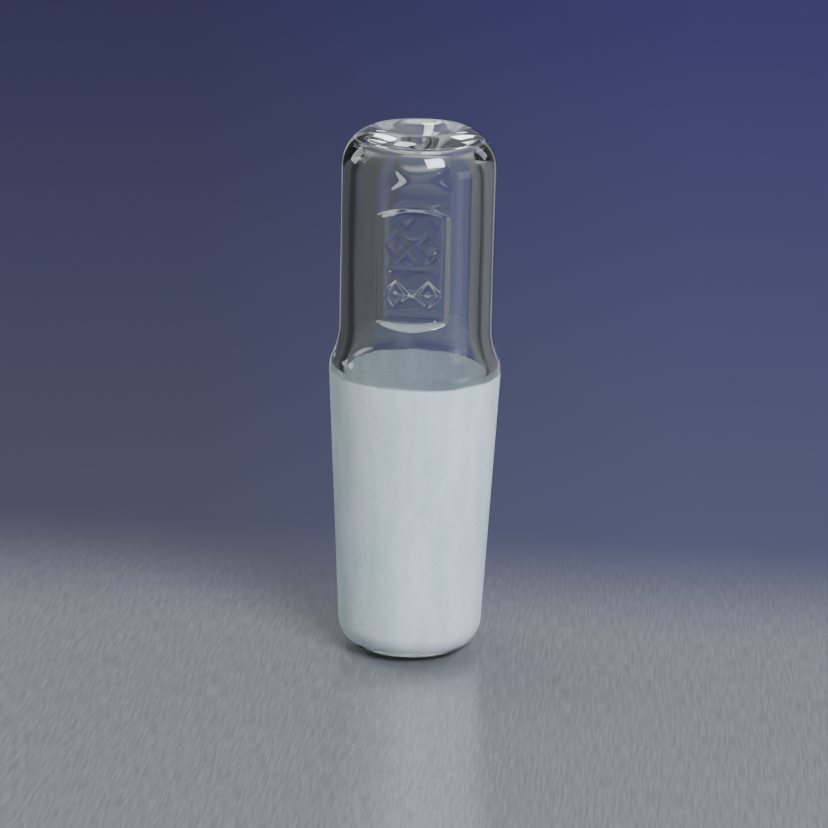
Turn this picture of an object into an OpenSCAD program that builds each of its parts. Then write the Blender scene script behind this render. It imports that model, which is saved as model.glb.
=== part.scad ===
// Hollow glass stopper: a sealed, thin-walled body with a ground taper below,
// a round head above with a flat panel on its front and its back, and a dished top. It
// stands on its flat foot at z = 0.

/* [Ground taper] */
// Diameter of the taper at its wide end
joint_d = 24; // [18:0.5:40]
// Length of the ground taper along the axis
joint_l = 40; // [25:1:60]
// Diameter that the taper loses over each millimetre of its length
joint_taper = 0.1; // [0.05:0.01:0.15]

/* [Foot] */
// Height of the polished foot below the ground glass
foot_h = 0.8; // [0.4:0.1:3]
// Outside radius of the corner where the taper turns into the foot
foot_corner_r = 4.5; // [3:0.1:6]

/* [Head] */
// Height of the head above the wide end of the taper
head_l = 34.2; // [27:0.2:60]
// How far the shoulder steps in from the taper to the side of the head
shoulder_in = 1.3; // [0.8:0.1:2.5]
// Steepest lean of the shoulder, measured from the axis
shoulder_lean = 24; // [18:1:40]
// Outside radius where the shoulder leaves the taper
shoulder_r = 4.5; // [3:0.1:6]
// Outside radius of the head's top corner
crown_r = 5.6; // [4:0.1:6.5]
// How far the top corner turns before it tightens into the lip
crown_turn = 72; // [60:1:80]
// Outside radius of the lip round the dish
lip_r = 2.2; // [1:0.1:3]

/* [Dish] */
// Slope of the dish's side, measured from the level
dish_lean = 38; // [20:1:45]
// Radius of the bottom of the dish
dish_r = 3; // [1:0.1:4]

/* [Wall] */
// Thickness of the blown wall
wall = 2; // [1:0.1:2.5]
// Thickness of the glass between the cavity's top ring and the head's top corner
corner_wall = 0.8; // [0.5:0.05:1]
// Radius of the narrow ring that the cavity ends in
cavity_tip_r = 0.8; // [0.4:0.1:1.5]
// Slope of the dish's underside, measured from the level
bulge_lean = 31; // [20:1:40]
// Radius of the lowest part of the dish's underside
bulge_r = 3.5; // [2:0.1:6]

/* [Flat panels] */
// How far each panel lies inside the side of the head
panel_in = 1.3; // [0.8:0.1:2]
// How far the cavity is pushed in behind each panel
cavity_panel_in = 1; // [0.6:0.1:1.6]
// Height of the slope at the panel's lower end
low_slope_h = 1.5; // [1:0.1:3]
// Height of the slope at the panel's upper end
high_slope_h = 2.2; // [1:0.1:3]
// Height of plain round side left below the panel
below_panel = 1.4; // [0.5:0.1:4]
// Height of plain round side left above the panel
above_panel = 3.2; // [0.5:0.1:5]

/* [Moulded marks] */
// How far the marks stand out from the panel
mark_h = 0.25; // [0.1:0.05:0.5]
// Width of each lozenge
lozenge_w = 3.4; // [2.5:0.1:4]
// Height of each lozenge
lozenge_h = 4.2; // [2.5:0.1:5]
// Length of the bar between the upper and the lower lozenges
rule_l = 7; // [4:0.5:9]
// Breadth of the bar and of the lozenges' line
line_w = 0.7; // [0.4:0.1:1]
// Space between neighbouring marks
mark_gap = 1; // [0.6:0.1:1.5]

/* [Hidden] */
$fn = 96;
glass_colour = [0.80, 0.86, 0.86];

// Degrees of turn between points on a round stretch of an outline
arc_step = 5;

joint_r = joint_d / 2;
joint_z = foot_h + joint_l;
head_r = joint_r - shoulder_in;
top_z = joint_z + head_l;

// Angle of the taper's side from the axis, which is also its normal's dip from level
taper_a = atan(joint_taper / 2);

// The cavity follows the outside at one wall's thickness, measured square to the glass
cavity_joint_r = joint_r - wall / cos(taper_a);
cavity_head_r = head_r - wall;

// Centres of the arcs that round the head's top corner and its lip
lip_offset = (crown_r - lip_r) * [cos(crown_turn), sin(crown_turn)];
crown_centre = [head_r - crown_r, top_z - lip_r - lip_offset.y];
lip_centre = crown_centre + lip_offset;

// Centre of the ring that the cavity ends in, one corner_wall inside the top corner
tip_from_crown = crown_r - corner_wall - cavity_tip_r;
tip_across = crown_r - wall - cavity_tip_r;
tip_centre = crown_centre + [tip_across, sqrt(tip_from_crown^2 - tip_across^2)];

// Points on an arc about a centre, from one angle to another
function arc(centre, r, from, to) =
    let (steps = max(2, ceil(abs(to - from) / arc_step)))
    [for (i = [0 : steps])
        let (a = from + (to - from) * i / steps)
        centre + r * [cos(a), sin(a)]];

// Corner of radius r between a level face at floor_z and the side of a taper that is
// wide_r at its wide end
function foot_corner(wide_r, floor_z, r) =
    let (
        z = floor_z + r,
        side_r = wide_r - (joint_z - z) * joint_taper / 2
    )
    arc([side_r - r / cos(taper_a), z], r, -90, -taper_a);

// S-shaped shoulder from the side of the taper up to the side of the head. The lower
// arc swells out from the taper. The upper arc takes up the rest of the step and
// hollows back to the head.
function shoulder(wide_r, narrow_r, r) =
    let (
        swell = [wide_r - r * cos(taper_a), joint_z + r * sin(taper_a)],
        hollow_r = (swell.x + r - narrow_r) / (1 - cos(shoulder_lean)) - r,
        hollow = [narrow_r + hollow_r, swell.y + (r + hollow_r) * sin(shoulder_lean)]
    )
    concat(
        arc(swell, r, -taper_a, shoulder_lean),
        arc(hollow, hollow_r, 180 + shoulder_lean, 180));

// Bottom of a bowl on the axis, at the end of the straight side that leaves a rim's
// round of radius r at its given lean
function bowl(rim_centre, r, lean, bottom_r) =
    let (
        side = (rim_centre.x - (r + bottom_r) * sin(lean)) / cos(lean),
        bottom_z = rim_centre.y + (r + bottom_r) * cos(lean) - side * sin(lean)
    )
    arc([0, bottom_z], bottom_r, 270 + lean, 270);

outer_shoulder = shoulder(joint_r, head_r, shoulder_r);

outside = concat(
    [[0, 0]],
    foot_corner(joint_r, 0, foot_corner_r),
    outer_shoulder,
    arc(crown_centre, crown_r, 0, crown_turn),
    arc(lip_centre, lip_r, crown_turn, 90 + dish_lean),
    bowl(lip_centre, lip_r, dish_lean, dish_r));

cavity = concat(
    [[0, wall]],
    foot_corner(cavity_joint_r, wall, foot_corner_r - wall),
    shoulder(cavity_joint_r, cavity_head_r, shoulder_r - wall),
    arc(tip_centre, cavity_tip_r, 0, 90 + bulge_lean),
    bowl(tip_centre, cavity_tip_r, bulge_lean, bulge_r));

// Where the panels end, and the level of the marks between them
panel_low_z = outer_shoulder[len(outer_shoulder) - 1].y + below_panel;
panel_high_z = crown_centre.y - above_panel;
mark_z = (panel_low_z + low_slope_h + panel_high_z - high_slope_h) / 2;

// What each panel takes off a round side of radius r: everything beyond a flat that lies
// depth inside it, with a slope down to the flat at either end
module panel_cuts(r, depth) {
    reach = r + 1;
    for (turn = [0, 180])
        rotate(turn)
            translate([reach, 0, 0])
                rotate([90, 0, -90])
                    linear_extrude(2 * reach)
                        polygon([
                            [reach, panel_low_z - low_slope_h / depth],
                            [r, panel_low_z],
                            [r - depth, panel_low_z + low_slope_h],
                            [r - depth, panel_high_z - high_slope_h],
                            [r, panel_high_z],
                            [reach, panel_high_z + high_slope_h / depth]
                        ]);
}

module rhombus(w, h) {
    polygon([[w / 2, 0], [0, h / 2], [-w / 2, 0], [0, -h / 2]]);
}

// Outline of a lozenge, as a band of line_w inside its full width and height
module lozenge() {
    band = 2 * line_w * norm([lozenge_w, lozenge_h]);
    difference() {
        rhombus(lozenge_w, lozenge_h);
        rhombus(lozenge_w - band / lozenge_h, lozenge_h - band / lozenge_w);
    }
}

// Flat pattern of the marks about its own middle: a bar between two pairs of lozenges
module mark_pattern() {
    across = (lozenge_w + mark_gap) / 2;
    up = (lozenge_h + line_w) / 2 + mark_gap;
    square([rule_l, line_w], center = true);
    for (x = [-across, across], y = [-up, up])
        translate([x, y])
            lozenge();
}

// The marks on both panels, as a low relief whose roots end halfway through the wall
module marks() {
    root = wall / 2;
    for (turn = [0, 180])
        rotate(turn)
            translate([0, root + panel_in - head_r, mark_z])
                rotate([90, 0, 0])
                    linear_extrude(root + mark_h)
                        mark_pattern();
}

module stopper() {
    color(glass_colour)
        difference() {
            union() {
                difference() {
                    rotate_extrude()
                        polygon(outside);
                    panel_cuts(head_r, panel_in);
                }
                marks();
            }
            difference() {
                rotate_extrude()
                    polygon(cavity);
                panel_cuts(cavity_head_r, cavity_panel_in);
            }
        }
}

stopper();
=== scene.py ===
"""A hollow glass laboratory stopper, standing on its foot. Metres, +Z up."""

import math

import bpy
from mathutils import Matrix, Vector, noise


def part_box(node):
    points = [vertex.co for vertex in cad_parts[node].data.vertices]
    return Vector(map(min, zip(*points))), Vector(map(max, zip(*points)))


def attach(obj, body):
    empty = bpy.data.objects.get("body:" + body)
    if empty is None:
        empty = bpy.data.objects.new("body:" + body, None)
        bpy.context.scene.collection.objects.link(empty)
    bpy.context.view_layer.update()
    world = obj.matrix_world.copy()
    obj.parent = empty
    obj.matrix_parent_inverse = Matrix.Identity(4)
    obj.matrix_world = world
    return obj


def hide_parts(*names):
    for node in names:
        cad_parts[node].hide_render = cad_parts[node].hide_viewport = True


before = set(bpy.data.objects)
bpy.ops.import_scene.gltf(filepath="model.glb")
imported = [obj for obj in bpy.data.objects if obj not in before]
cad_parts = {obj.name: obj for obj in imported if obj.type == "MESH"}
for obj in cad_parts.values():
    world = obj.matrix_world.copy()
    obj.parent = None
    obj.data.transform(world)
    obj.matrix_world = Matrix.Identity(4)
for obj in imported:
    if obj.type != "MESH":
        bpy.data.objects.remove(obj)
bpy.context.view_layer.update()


# --- The blown glass ----------------------------------------------------------------
# One piece of borosilicate tube, blown in a mould while it was soft and sealed at both
# ends. The mould gave it the round head, the dished top and a flat panel with low raised
# marks on its front and its back. The air inside is sealed in.

MM = 0.001
low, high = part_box("stopper")
JOINT_R = (high[0] - low[0]) / 2
TOP_Z = high[2]
FOOT_H = 0.8 * MM
JOINT_L = 40 * MM
JOINT_TAPER = 0.1
FOOT_CORNER_R = 4.5 * MM
SHOULDER_IN = 1.3 * MM
SHOULDER_LEAN = math.radians(24)
SHOULDER_R = 4.5 * MM
CROWN_R = 5.6 * MM
CROWN_TURN = math.radians(72)
LIP_R = 2.2 * MM
DISH_LEAN = math.radians(38)
DISH_R = 3 * MM
WALL = 2 * MM
CORNER_WALL = 0.8 * MM
CAVITY_TIP_R = 0.8 * MM
BULGE_LEAN = math.radians(31)
BULGE_R = 3.5 * MM

JOINT_Z = FOOT_H + JOINT_L
HEAD_R = JOINT_R - SHOULDER_IN
TAPER_A = math.atan(JOINT_TAPER / 2)
QUARTER = math.pi / 2
CURVE_STEP = 0.4 * MM
SIDE_STEP = 1.2 * MM


def arc(centre, radius, start, stop, step=CURVE_STEP):
    """Points along an arc in the (radius, height) plane, about step apart."""
    count = max(2, math.ceil(abs(stop - start) * radius / step))
    turns = [start + (stop - start) * i / count for i in range(count + 1)]
    return [(centre[0] + radius * math.cos(a), centre[1] + radius * math.sin(a)) for a in turns]


def joined(stretches, step=SIDE_STEP):
    """One outline through the stretches, with the straight gaps filled about step apart."""
    line = [stretches[0][0]]
    for stretch in stretches:
        for point in stretch:
            last = line[-1]
            gap = math.dist(last, point)
            if gap < 1e-9:
                continue
            count = max(1, math.ceil(gap / step))
            for i in range(1, count + 1):
                t = i / count
                line.append((last[0] + (point[0] - last[0]) * t, last[1] + (point[1] - last[1]) * t))
    return line


def foot_corner(wide_r, floor_z, radius):
    z = floor_z + radius
    side_r = wide_r - (JOINT_Z - z) * JOINT_TAPER / 2
    return arc((side_r - radius / math.cos(TAPER_A), z), radius, -QUARTER, -TAPER_A)


def shoulder(wide_r, narrow_r, radius):
    """The S from the taper's side up to the head's side."""
    swell = (wide_r - radius * math.cos(TAPER_A), JOINT_Z + radius * math.sin(TAPER_A))
    hollow_r = (swell[0] + radius - narrow_r) / (1 - math.cos(SHOULDER_LEAN)) - radius
    hollow = (narrow_r + hollow_r, swell[1] + (radius + hollow_r) * math.sin(SHOULDER_LEAN))
    return (arc(swell, radius, -TAPER_A, SHOULDER_LEAN)
            + arc(hollow, hollow_r, math.pi + SHOULDER_LEAN, math.pi))


def bowl(rim, radius, lean, bottom_r):
    """The bottom of a dish whose straight side leaves the rim's round at its lean."""
    side = (rim[0] - (radius + bottom_r) * math.sin(lean)) / math.cos(lean)
    bottom_z = rim[1] + (radius + bottom_r) * math.cos(lean) - side * math.sin(lean)
    return arc((0, bottom_z), bottom_r, 3 * QUARTER + lean, 3 * QUARTER)


lip_from_crown = CROWN_R - LIP_R
lip_up = lip_from_crown * math.sin(CROWN_TURN)
crown = (HEAD_R - CROWN_R, TOP_Z - LIP_R - lip_up)
lip = (crown[0] + lip_from_crown * math.cos(CROWN_TURN), crown[1] + lip_up)
tip_across = CROWN_R - WALL - CAVITY_TIP_R
tip_up = math.sqrt((CROWN_R - CORNER_WALL - CAVITY_TIP_R) ** 2 - tip_across ** 2)
tip = (crown[0] + tip_across, crown[1] + tip_up)
cavity_joint_r = JOINT_R - WALL / math.cos(TAPER_A)
cavity_head_r = HEAD_R - WALL

# Each panel lies inside the round side, with a softly rounded slope down to it at either
# end. The blown wall follows the mould, so the cavity is pushed in behind the panel.
PANEL_IN = 1.3 * MM
CAVITY_PANEL_IN = 1 * MM
LOW_SLOPE_H = 1.5 * MM
HIGH_SLOPE_H = 2.2 * MM
PANEL_EDGE_R = 0.12 * MM
CAVITY_PANEL_EDGE_R = 0.4 * MM
BELOW_PANEL = 1.4 * MM
ABOVE_PANEL = 3.2 * MM
panel_low_z = shoulder(JOINT_R, HEAD_R, SHOULDER_R)[-1][1] + BELOW_PANEL
panel_high_z = crown[1] - ABOVE_PANEL

# Past 60 degrees from a panel's middle, the glass is always its plain round self.
LEAST_FACING = 0.5


def smooth(t):
    t = max(0.0, min(1.0, t))
    return t * t * (3 - 2 * t)


def soft_least(a, b, blend):
    """The lesser of two lengths, rounded where they cross."""
    t = max(0.0, min(1.0, 0.5 + (b - a) / (2 * blend)))
    return b * (1 - t) + a * t - blend * t * (1 - t)


def panelled(angle, radius, z, depth, edge_r):
    """Radius at an angle once the flat panels are pressed in."""
    pressed = smooth((z - panel_low_z) / LOW_SLOPE_H) * smooth((panel_high_z - z) / HIGH_SLOPE_H)
    facing = abs(math.cos(angle))
    if pressed <= 0 or facing < LEAST_FACING:
        return radius
    return soft_least(radius, (radius - depth * pressed) / facing, edge_r)


# The marks are a bar between two pairs of lozenges, standing out as soft ridges.
MARK_H = 0.11 * MM
LOZENGE_W = 3.4 * MM
LOZENGE_H = 4.2 * MM
RULE_L = 7 * MM
LINE_W = 0.7 * MM
MARK_GAP = 1 * MM
RIDGE_SPREAD = 0.75
lozenge_across = (LOZENGE_W + MARK_GAP) / 2
lozenge_up = (LOZENGE_H + LINE_W) / 2 + MARK_GAP
mark_z = (panel_low_z + LOW_SLOPE_H + panel_high_z - HIGH_SLOPE_H) / 2


def relief(x, y):
    """Height of the marks at a place on the panel, from their own middle."""
    past_end = max(0.0, abs(x) - (RULE_L - LINE_W) / 2)
    off = math.hypot(past_end, y)
    across = abs(abs(x) - lozenge_across) * LOZENGE_H
    up = abs(abs(y) - lozenge_up) * LOZENGE_W
    outside_edge = (across + up - LOZENGE_W * LOZENGE_H / 2) / math.hypot(LOZENGE_W, LOZENGE_H)
    off = min(off, abs(outside_edge + LINE_W / 2))
    return MARK_H * smooth(1 - off / (RIDGE_SPREAD * LINE_W))


def moulded(angle, radius, z):
    """The outside of the glass."""
    if not panel_low_z < z < panel_high_z:
        return radius
    radius = panelled(angle, radius, z, PANEL_IN, PANEL_EDGE_R)
    ridge = relief(radius * math.sin(angle), z - mark_z)
    return radius + ridge / max(LEAST_FACING, abs(math.cos(angle)))


# How far the cavity wanders, as a share of its radius, and over what height.
BLOW_WANDER = 0.006
BLOW_WANDER_H = 9 * MM
BLOW_WANDER_TURN = 2


def blown(angle, radius, z):
    """The inside of the glass, which blowing never leaves quite true."""
    if panel_low_z < z < panel_high_z:
        radius = panelled(angle, radius, z, CAVITY_PANEL_IN, CAVITY_PANEL_EDGE_R)
    across = BLOW_WANDER_TURN * math.sin(angle)
    along = BLOW_WANDER_TURN * math.cos(angle)
    return radius * (1 + BLOW_WANDER * noise.noise(Vector((along, across, z / BLOW_WANDER_H))))


# The rows are close together only where the marks need them.
MARK_STEP = 0.18 * MM
outside = joined([[(0, 0)], foot_corner(JOINT_R, 0, FOOT_CORNER_R),
                  shoulder(JOINT_R, HEAD_R, SHOULDER_R), [(HEAD_R, panel_low_z)]])
outside += joined([outside[-1:], [(HEAD_R, panel_high_z)]], MARK_STEP)[1:]
outside += joined([outside[-1:], arc(crown, CROWN_R, 0, CROWN_TURN),
                   arc(lip, LIP_R, CROWN_TURN, QUARTER + DISH_LEAN),
                   bowl(lip, LIP_R, DISH_LEAN, DISH_R)], CURVE_STEP)[1:]
inside = joined([[(0, WALL)], foot_corner(cavity_joint_r, WALL, FOOT_CORNER_R - WALL),
                 shoulder(cavity_joint_r, cavity_head_r, SHOULDER_R - WALL)])
inside = joined([inside, arc(tip, CAVITY_TIP_R, 0, QUARTER + BULGE_LEAN, CURVE_STEP / 2),
                 bowl(tip, CAVITY_TIP_R, BULGE_LEAN, BULGE_R)], CURVE_STEP)

# The columns are close together only within PANEL_TURN of each panel's middle.
PANEL_TURN = math.radians(34)
CLOSE_COLUMNS = 39
WIDE_COLUMNS = 26
close = [PANEL_TURN * (i / CLOSE_COLUMNS - 1) for i in range(2 * CLOSE_COLUMNS + 1)]
wide = [PANEL_TURN + (math.pi - 2 * PANEL_TURN) * i / WIDE_COLUMNS for i in range(1, WIDE_COLUMNS)]
angles = close + wide + [a + math.pi for a in close + wide]

verts, faces, slots = [], [], []

# The ground material covers the faces to a little past where its frost ends.
GROUND_FACES_PAST = 1.5 * MM


def skin(outline, shape, inward):
    """Turns an outline about the axis into a closed skin. Angle 0 faces -Y."""
    rings = []
    for radius, z in outline[1:-1]:
        rings.append(len(verts))
        for a in angles:
            r = shape(a, radius, z)
            verts.append((r * math.sin(a), -r * math.cos(a), z))
    ends = [(0, 0, outline[0][1]), (0, 0, outline[-1][1])]
    bottom = len(verts)
    verts.extend(ends)
    for i in range(len(angles)):
        j = (i + 1) % len(angles)
        column = [(bottom, rings[0] + j, rings[0] + i)]
        column += [(a + i, a + j, b + j, b + i) for a, b in zip(rings, rings[1:])]
        column.append((rings[-1] + i, rings[-1] + j, bottom + 1))
        faces.extend(face[::-1] if inward else face for face in column)
        slots.extend(int(not inward and z < JOINT_Z + GROUND_FACES_PAST) for _, z in outline[1:])


skin(outside, moulded, False)
skin(inside, blown, True)
mesh = bpy.data.meshes.new("stopper_glass")
mesh.from_pydata(verts, [], faces)
mesh.polygons.foreach_set("material_index", slots)
mesh.polygons.foreach_set("use_smooth", [True] * len(faces))
mesh.update()
glass = bpy.data.objects.new("stopper_glass", mesh)
bpy.context.collection.objects.link(glass)
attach(glass, "root")
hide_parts("stopper")


def linear(hexa):
    """An sRGB hex colour as linear RGBA."""
    parts = [int(hexa[i:i + 2], 16) / 255 for i in (0, 2, 4)]
    return [c / 12.92 if c <= 0.04045 else ((c + 0.055) / 1.055) ** 2.4 for c in parts] + [1]


def node(tree, kind, links=(), inputs=(), **settings):
    """Adds a node, sets its properties and its inputs, and links sockets into it."""
    made = tree.nodes.new(kind)
    for name, value in settings.items():
        setattr(made, name, value)
    for socket, value in dict(inputs).items():
        made.inputs[socket].default_value = value
    for socket, source in dict(links).items():
        tree.links.new(source, made.inputs[socket])
    return made


# Borosilicate glass, fire-polished by the flame that worked it: smooth and clear, with
# bright reflections and almost no colour of its own. CLEARNESS leaves it half a per cent
# of haze, so that light caught in the wall shows as dark grey and not as solid black.
GLASS_IOR = 1.473
GLASS_TINT = "FBFDFB"
CLEARNESS = 0.995
clear = bpy.data.materials.new("fire_polished_borosilicate")
clear.use_nodes = True
tree = clear.node_tree
tree.nodes.clear()
shader = node(tree, "ShaderNodeBsdfPrincipled", inputs={
    "Base Color": linear(GLASS_TINT),
    "Roughness": 0.0,
    "IOR": GLASS_IOR,
    "Transmission Weight": CLEARNESS,
})
node(tree, "ShaderNodeOutputMaterial", {"Surface": shader.outputs[0]})
mesh.materials.append(clear)


# --- The ground taper ---------------------------------------------------------------
# The same glass, ground against a rotating cone with fine abrasive until it was a true
# 1 in 10 taper. The grinding stops at the foot and at the shoulder, in a line that isn't
# quite even. The grit leaves a dense white frost that scatters light.

GROUND_LOW_Z = 1.7 * MM
GROUND_FADE = 0.8 * MM
GROUND_LINE = 0.35 * MM
GROUND_LINE_WANDER = 0.5 * MM

# Waves to the metre in the line where the grinding stops, so about 4.5 mm each.
GROUND_LINE_WAVES = 220.0

# The grit's own marks are under a tenth of a millimetre. They are drawn coarser, so that
# the frost shows a grain. The blotches are where the grinding bit unevenly, and
# they run along the taper.
GRIT = 0.25 * MM
PIT_DEPTH = 0.08 * MM
PIT_STRENGTH = 0.6
BLOTCH_W = 3 * MM
BLOTCH_H = 14 * MM
GRAIN_LOW = 0.86
GRAIN_HIGH = 1.14

# How rough the frost is, and the share of the light that it scatters at its surface.
FROST_ROUGHNESS = 0.5
FROST_BODY = 0.5

# Ground glass: a soft, pale, slightly blue white with a faint grain, which gives way to
# clear glass at the foot and at the shoulder.
ground = bpy.data.materials.new("ground_borosilicate")
ground.use_nodes = True
tree = ground.node_tree
tree.nodes.clear()
coords = node(tree, "ShaderNodeTexCoord")
place = node(tree, "ShaderNodeSeparateXYZ", {0: coords.outputs["Object"]})
wander = node(tree, "ShaderNodeTexNoise", {"Vector": coords.outputs["Object"]},
              {"Scale": GROUND_LINE_WAVES, "Detail": 4.0})
shift = node(tree, "ShaderNodeMath", {0: wander.outputs[0]},
             {1: 2 * GROUND_LINE_WANDER, 2: -GROUND_LINE_WANDER}, operation="MULTIPLY_ADD")
height = node(tree, "ShaderNodeMath", {0: place.outputs["Z"], 1: shift.outputs[0]},
              operation="ADD")
below_top = node(tree, "ShaderNodeMapRange", {"Value": height.outputs[0]},
                 {"From Min": JOINT_Z + GROUND_LINE, "From Max": JOINT_Z - GROUND_LINE},
                 interpolation_type="SMOOTHSTEP")
above_foot = node(tree, "ShaderNodeMapRange", {"Value": height.outputs[0]},
                  {"From Min": GROUND_LOW_Z - GROUND_FADE, "From Max": GROUND_LOW_Z + GROUND_FADE},
                  interpolation_type="SMOOTHSTEP")
frost = node(tree, "ShaderNodeMath", {0: below_top.outputs[0], 1: above_foot.outputs[0]},
             operation="MULTIPLY")
upright = node(tree, "ShaderNodeVectorMath", {0: coords.outputs["Object"]},
               {1: (1 / BLOTCH_W, 1 / BLOTCH_W, 1 / BLOTCH_H)}, operation="MULTIPLY")
blotch = node(tree, "ShaderNodeTexNoise", {"Vector": upright.outputs[0]},
              {"Scale": 1.0, "Detail": 5.0})
grit = node(tree, "ShaderNodeTexNoise", {"Vector": coords.outputs["Object"]},
            {"Scale": 1 / GRIT, "Detail": 2.0})
grain = node(tree, "ShaderNodeMath", {0: blotch.outputs[0], 1: grit.outputs[0]}, operation="ADD")
spread = node(tree, "ShaderNodeMapRange", {"Value": grain.outputs[0]},
              {"From Min": GRAIN_LOW, "From Max": GRAIN_HIGH})
frosted = node(tree, "ShaderNodeMix", {"Factor": spread.outputs[0]},
               {6: linear("D8EAE8"), 7: linear("F8FEFF")}, data_type="RGBA")
tint = node(tree, "ShaderNodeMix", {"Factor": frost.outputs[0], 7: frosted.outputs[2]},
            {6: linear(GLASS_TINT)}, data_type="RGBA")
rough = node(tree, "ShaderNodeMath", {0: frost.outputs[0]}, {1: FROST_ROUGHNESS},
             operation="MULTIPLY")
clearness = node(tree, "ShaderNodeMath", {0: frost.outputs[0]}, {1: -FROST_BODY, 2: 1.0},
                 operation="MULTIPLY_ADD")
relief_of_grit = node(tree, "ShaderNodeMath", {0: grit.outputs[0], 1: frost.outputs[0]},
                      operation="MULTIPLY")
pitted = node(tree, "ShaderNodeBump", {"Height": relief_of_grit.outputs[0]},
              {"Strength": PIT_STRENGTH, "Distance": PIT_DEPTH})
shader = node(tree, "ShaderNodeBsdfPrincipled", {
    "Base Color": tint.outputs[2],
    "Roughness": rough.outputs[0],
    "Transmission Weight": clearness.outputs[0],
    "Normal": pitted.outputs[0],
}, {"IOR": GLASS_IOR})
node(tree, "ShaderNodeOutputMaterial", {"Surface": shader.outputs[0]})
mesh.materials.append(ground)


# --- The studio ---------------------------------------------------------------------
# A mid grey table top of satin metal, which fades out behind the stopper into a dim blue
# backdrop. Round that is a dark grey room. The lights are two rims behind, a strip and two
# softboxes at the sides, and two softboxes above.

FLOOR_R = 0.6
FLOOR_SIDES = 96
FADE_START_Y = 0.0
FADE_END_Y = 0.056

# Brushing is finer than this on real metal. It is drawn coarser, so that it shows.
BRUSH_W = 0.35 * MM
BRUSH_STRETCH = 0.07
BRUSH_LOW = 0.3
BRUSH_HIGH = 0.7
ring = [2 * math.pi * i / FLOOR_SIDES for i in range(FLOOR_SIDES)]
floor_mesh = bpy.data.meshes.new("floor")
floor_mesh.from_pydata([(FLOOR_R * math.cos(a), FLOOR_R * math.sin(a), 0) for a in ring], [],
                       [tuple(range(FLOOR_SIDES))])
floor = bpy.data.objects.new("floor", floor_mesh)
bpy.context.collection.objects.link(floor)

# Brushed aluminium: a satin sheen that holds a blurred reflection of the stopper, with
# fine lines running away from the front.
top = bpy.data.materials.new("brushed_aluminium_top")
top.use_nodes = True
tree = top.node_tree
tree.nodes.clear()
coords = node(tree, "ShaderNodeTexCoord")
place = node(tree, "ShaderNodeSeparateXYZ", {0: coords.outputs["Object"]})
fade = node(tree, "ShaderNodeMapRange", {"Value": place.outputs["Y"]},
            {"From Min": FADE_START_Y, "From Max": FADE_END_Y}, interpolation_type="SMOOTHSTEP")
stretched = node(tree, "ShaderNodeVectorMath", {0: coords.outputs["Object"]},
                 {1: (1 / BRUSH_W, BRUSH_STRETCH / BRUSH_W, 0)}, operation="MULTIPLY")
brushing = node(tree, "ShaderNodeTexNoise", {"Vector": stretched.outputs[0]},
                {"Scale": 1.0, "Detail": 2.0})
lines = node(tree, "ShaderNodeMapRange", {"Value": brushing.outputs[0]},
             {"From Min": BRUSH_LOW, "From Max": BRUSH_HIGH})
tone = node(tree, "ShaderNodeMix", {"Factor": lines.outputs[0]},
            {6: linear("6B6A69"), 7: linear("807F7E")}, data_type="RGBA")
shader = node(tree, "ShaderNodeBsdfPrincipled", {"Base Color": tone.outputs[2]},
              {"Roughness": 0.18, "Metallic": 0.55})
gone = node(tree, "ShaderNodeBsdfTransparent")
mix = node(tree, "ShaderNodeMixShader",
           {0: fade.outputs[0], 1: shader.outputs[0], 2: gone.outputs[0]})
node(tree, "ShaderNodeOutputMaterial", {"Surface": mix.outputs[0]})
floor_mesh.materials.append(top)

# What stands round the stopper, by direction. Turns are measured from +Y, to the right.
# Levels are the upward part of the direction: 0 is level, 1 straight up, -1 straight down.
world = bpy.data.worlds.new("room")
bpy.context.scene.world = world
world.use_nodes = True
tree = world.node_tree
tree.nodes.clear()
coords = node(tree, "ShaderNodeTexCoord")
way = node(tree, "ShaderNodeSeparateXYZ", {0: coords.outputs["Generated"]})
turn = node(tree, "ShaderNodeMath", {0: way.outputs["X"], 1: way.outputs["Y"]}, operation="ARCTAN2")
off_back = node(tree, "ShaderNodeMath", {0: turn.outputs[0]}, operation="ABSOLUTE")

# The backdrop: deep blue above, greyer below, and bluer to the right.
BACKDROP_UPPER = -0.156
BACKDROP_LOWER = -0.31
BACKDROP_LEFT = math.radians(-8)
BACKDROP_RIGHT = math.radians(1)
blue = node(tree, "ShaderNodeMapRange", {"Value": way.outputs["Z"]},
            {"From Min": BACKDROP_UPPER, "From Max": BACKDROP_LOWER})
across = node(tree, "ShaderNodeMapRange", {"Value": turn.outputs[0]},
              {"From Min": BACKDROP_LEFT, "From Max": BACKDROP_RIGHT})
upper = node(tree, "ShaderNodeMix", {"Factor": across.outputs[0]},
             {6: linear("3A385B"), 7: linear("413F70")}, data_type="RGBA")
lower = node(tree, "ShaderNodeMix", {"Factor": across.outputs[0]},
             {6: linear("515368"), 7: linear("585B7B")}, data_type="RGBA")
backdrop = node(tree, "ShaderNodeMix", {"Factor": blue.outputs[0], 6: upper.outputs[2],
                                        7: lower.outputs[2]}, data_type="RGBA")

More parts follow.
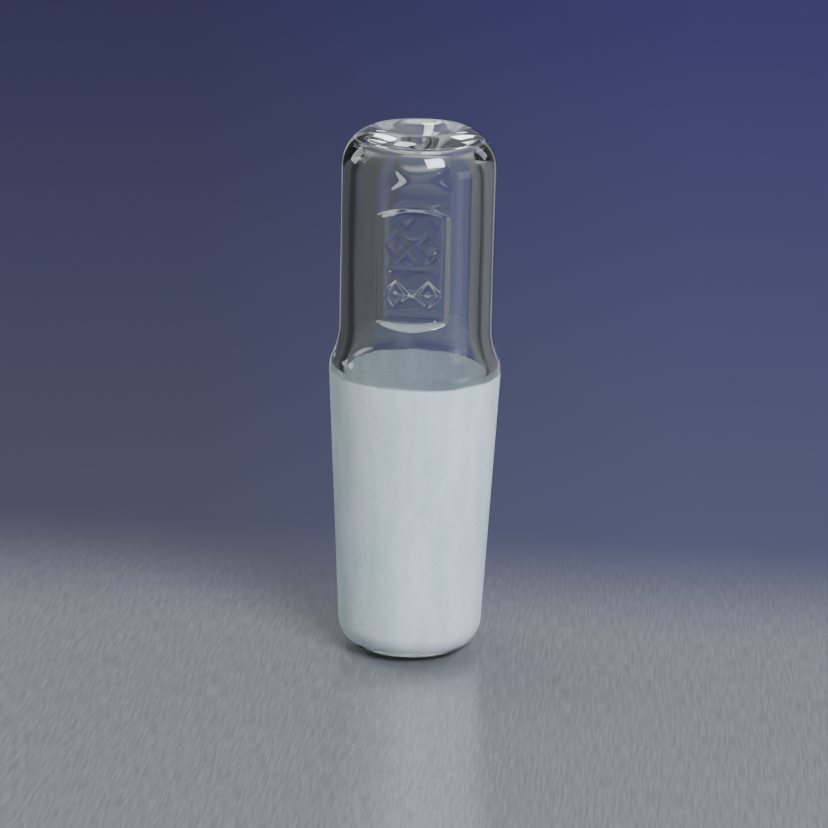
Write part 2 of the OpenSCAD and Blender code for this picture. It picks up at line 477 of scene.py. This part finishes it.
# The room: grey beside the backdrop and darker beyond, and lighter to the right.
NEAR_ROOM_TURN = math.radians(35)
FAR_ROOM_TURN = math.radians(48)
ROOM_BLEND_TURN = math.radians(10)
beyond = node(tree, "ShaderNodeMapRange", {"Value": off_back.outputs[0]},
              {"From Min": NEAR_ROOM_TURN, "From Max": FAR_ROOM_TURN},
              interpolation_type="SMOOTHSTEP")
side = node(tree, "ShaderNodeMapRange", {"Value": turn.outputs[0]},
            {"From Min": -ROOM_BLEND_TURN, "From Max": ROOM_BLEND_TURN})
near_room = node(tree, "ShaderNodeMix", {"Factor": side.outputs[0]},
                 {6: linear("4E4E50"), 7: linear("707074")}, data_type="RGBA")
far_room = node(tree, "ShaderNodeMix", {"Factor": side.outputs[0]},
                {6: linear("303033"), 7: linear("3C3C40")}, data_type="RGBA")
room = node(tree, "ShaderNodeMix", {"Factor": beyond.outputs[0], 6: near_room.outputs[2],
                                    7: far_room.outputs[2]}, data_type="RGBA")

# The backdrop's edges, where it gives way to the room.
BACKDROP_END_TURN = math.radians(11.5)
ROOM_START_TURN = math.radians(13.5)
edge = node(tree, "ShaderNodeMapRange", {"Value": off_back.outputs[0]},
            {"From Min": BACKDROP_END_TURN, "From Max": ROOM_START_TURN},
            interpolation_type="SMOOTHSTEP")
level = node(tree, "ShaderNodeMix", {"Factor": edge.outputs[0], 6: backdrop.outputs[2],
                                     7: room.outputs[2]}, data_type="RGBA")

# A pale part of the wall over the backdrop, above what the camera sees directly.
WALL_PART_FROM = 0.05
WALL_PART_TO = 0.12
WALL_PART_TURN = math.radians(20)
WALL_PART_END_TURN = math.radians(26)
above = node(tree, "ShaderNodeMapRange", {"Value": way.outputs["Z"]},
             {"From Min": WALL_PART_FROM, "From Max": WALL_PART_TO},
             interpolation_type="SMOOTHSTEP")
ahead = node(tree, "ShaderNodeMapRange", {"Value": off_back.outputs[0]},
             {"From Min": WALL_PART_END_TURN, "From Max": WALL_PART_TURN},
             interpolation_type="SMOOTHSTEP")
wall_part = node(tree, "ShaderNodeMath", {0: above.outputs[0], 1: ahead.outputs[0]},
                 operation="MULTIPLY")
level = node(tree, "ShaderNodeMix", {"Factor": wall_part.outputs[0], 6: level.outputs[2]},
             {7: linear("989CB0")}, data_type="RGBA")

# A soft pale patch 16 degrees left of +Y, which the camera sees only in the glass.
PATCH_WAY = (-0.276, 0.961, 0.0)
PATCH_R = 0.12
PATCH_END_R = 0.16
from_patch = node(tree, "ShaderNodeVectorMath", {0: coords.outputs["Generated"]},
                  {1: PATCH_WAY}, operation="DISTANCE")
patch = node(tree, "ShaderNodeMapRange", {"Value": from_patch.outputs["Value"]},
             {"From Min": PATCH_END_R, "From Max": PATCH_R}, interpolation_type="SMOOTHSTEP")
level = node(tree, "ShaderNodeMix", {"Factor": patch.outputs[0], 6: level.outputs[2]},
             {7: linear("B4B8C4")}, data_type="RGBA")

# Pale below, where the table top has faded out.
BELOW_FROM = -0.45
BELOW_TO = -0.56
down = node(tree, "ShaderNodeMapRange", {"Value": way.outputs["Z"]},
            {"From Min": BELOW_FROM, "From Max": BELOW_TO}, interpolation_type="SMOOTHSTEP")
level = node(tree, "ShaderNodeMix", {"Factor": down.outputs[0], 6: level.outputs[2]},
             {7: linear("C2C6C8")}, data_type="RGBA")

# A pale ceiling.
CEILING_FROM = 0.25
CEILING_TO = 0.8
up = node(tree, "ShaderNodeMapRange", {"Value": way.outputs["Z"]},
          {"From Min": CEILING_FROM, "From Max": CEILING_TO}, interpolation_type="SMOOTHSTEP")
sky = node(tree, "ShaderNodeMix", {"Factor": up.outputs[0], 6: level.outputs[2]},
           {7: linear("E8EBEF")}, data_type="RGBA")
background = node(tree, "ShaderNodeBackground", {"Color": sky.outputs[2]}, {"Strength": 1.0})
node(tree, "ShaderNodeOutputWorld", {"Surface": background.outputs[0]})


def aim(piece, place, target):
    piece.location = place
    piece.rotation_euler = (Vector(target) - Vector(place)).to_track_quat("-Z", "Y").to_euler()


# The lights point at the middle of the stopper.
LIT_POINT = (0, 0, 0.04)


def softbox(name, place, size, power, colour):
    """A lit rectangle that the camera itself doesn't see."""
    lamp = bpy.data.lights.new(name, "AREA")
    lamp.shape = "RECTANGLE"
    lamp.size, lamp.size_y = size
    lamp.energy = power
    lamp.color = linear(colour)[:3]
    box = bpy.data.objects.new(name, lamp)
    bpy.context.collection.objects.link(box)
    aim(box, place, LIT_POINT)
    box.visible_camera = False
    return box


# The rims show only in reflections.
left_rim = softbox("left_rim_light", (-0.20, 0.44, 0.0), (0.06, 0.5), 0.06, "FFFFFF")
right_rim = softbox("right_rim_light", (0.20, 0.44, 0.0), (0.06, 0.5), 0.06, "FFFFFF")
for rim in (left_rim, right_rim):
    rim.visible_transmission = False
    rim.visible_diffuse = False

# The strip shows in and through the glass, and doesn't light matt surfaces.
strip = softbox("strip_light", (0.48, -0.146, -0.05), (0.2, 0.4), 0.5, "EAF1FF")
strip.visible_diffuse = False

# The softboxes light everything. The key, at the front right, is by far the strongest.
softbox("left_back_softbox", (-0.40, 0.16, 0.20), (0.14, 0.20), 0.4, "EAF6F0")
softbox("right_back_softbox", (0.36, 0.28, 0.24), (0.12, 0.16), 0.2, "F2F6FF")
softbox("top_softbox", (-0.12, 0.1, 0.6), (0.15, 0.15), 1.5, "FFFFFF")
softbox("key_softbox", (0.24, -0.39, 0.44), (0.25, 0.25), 11.0, "DEEAFF")

# A long lens, a little above the stopper and to its right, held not quite level. Its
# drop is a share of the picture's width.
VIEW_FROM = 0.45
VIEW_UP = math.radians(16.05)
VIEW_TURN = math.radians(4)
LEAN = math.radians(1.25)
LENS = 139.5
SENSOR_W = 36
VIEW_DROP = 1 / 138
target = Vector((0, 0, 35 * MM))
level_way = Vector((math.sin(VIEW_TURN), -math.cos(VIEW_TURN), 0))
camera = bpy.data.objects.new("camera", bpy.data.cameras.new("camera"))
bpy.context.collection.objects.link(camera)
view_way = level_way * math.cos(VIEW_UP) + Vector((0, 0, math.sin(VIEW_UP)))
aim(camera, target + VIEW_FROM * view_way, target)
camera.rotation_euler.rotate_axis("Z", LEAN)
camera.data.sensor_width = SENSOR_W
camera.data.lens = LENS
camera.data.shift_y = -VIEW_DROP
camera.data.clip_start = 0.01
bpy.context.scene.camera = camera
